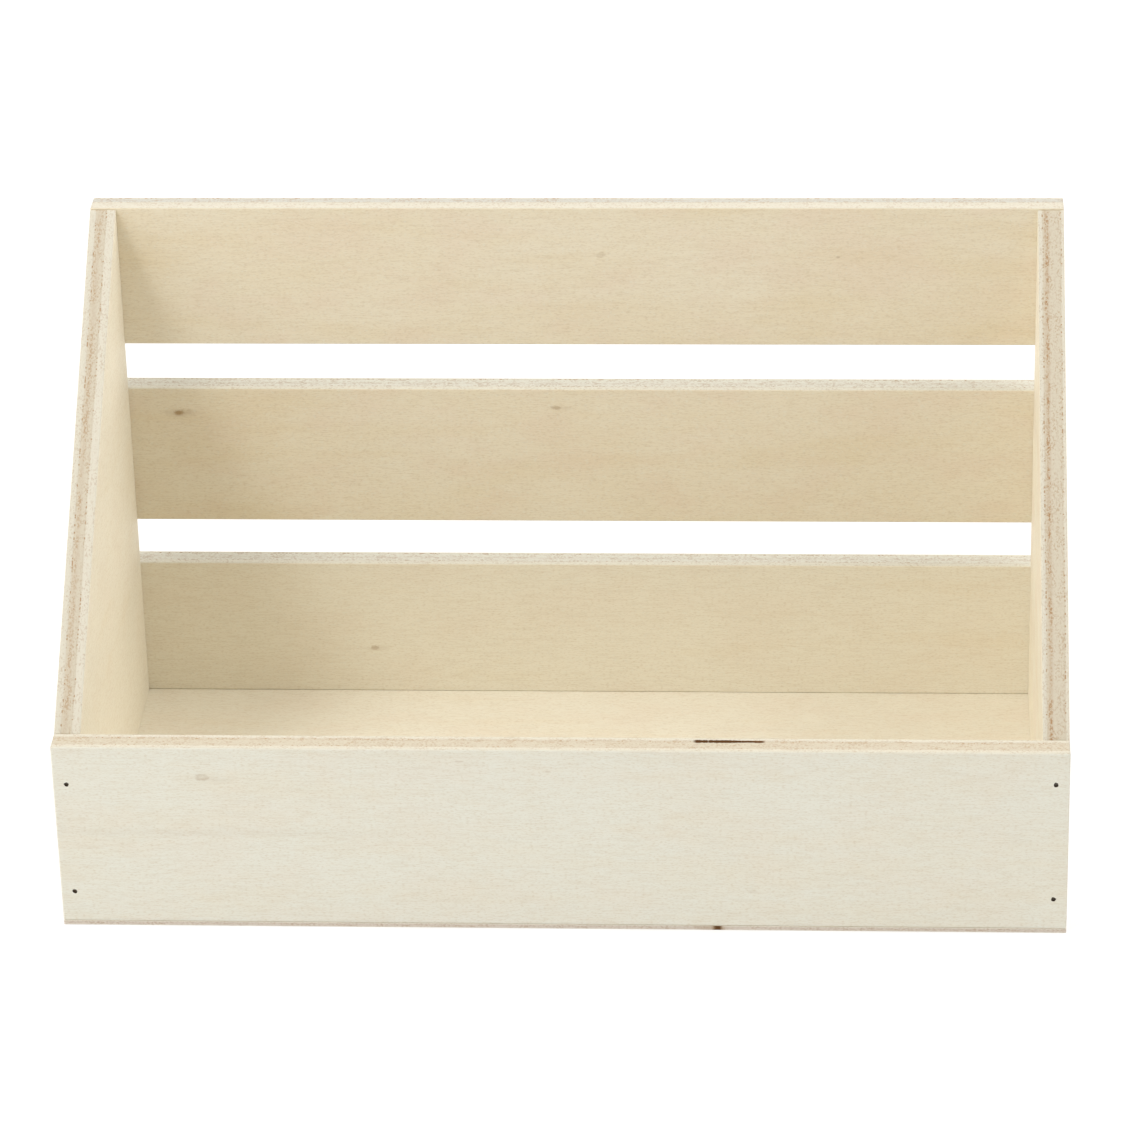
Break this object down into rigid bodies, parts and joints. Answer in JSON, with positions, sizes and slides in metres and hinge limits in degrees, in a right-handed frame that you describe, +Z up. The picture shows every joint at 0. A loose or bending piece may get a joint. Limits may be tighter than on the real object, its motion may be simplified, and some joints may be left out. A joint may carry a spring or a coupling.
{
  "type": "brochure rack",
  "caption": "Table-top plywood brochure tray with a low front board, sides that slope up to a tall slatted back, and a flat bottom, held together by brads.",
  "frame": {"origin": "centre of the footprint, on the surface that the rack stands on", "axes": "+Z up; +X along the front board to the right as seen from the front; +Y from the front board to the slatted back, so the front faces -Y"},
  "size_m": [0.3, 0.15, 0.172],
  "materials": {
    "birch_ply": "unfinished birch plywood, finely sanded, matt",
    "thin_ply": "thin unfinished birch plywood, matt",
    "brad_steel": "plain drawn steel wire, dull"
  },
  "bodies": {
    "root": {"front_panel": "birch_ply", "left_side": "birch_ply", "right_side": "birch_ply", "lower_slat": "birch_ply", "middle_slat": "birch_ply", "top_slat": "birch_ply", "bottom_sheet": "thin_ply", "front_left_brads": "brad_steel", "front_right_brads": "brad_steel", "lower_slat_left_brads": "brad_steel", "lower_slat_right_brads": "brad_steel", "middle_slat_left_brads": "brad_steel", "middle_slat_right_brads": "brad_steel", "top_slat_left_brads": "brad_steel", "top_slat_right_brads": "brad_steel", "sheet_front_brads": "brad_steel", "sheet_rear_brads": "brad_steel", "sheet_left_brads": "brad_steel", "sheet_right_brads": "brad_steel"}
  },
  "joints": []
}
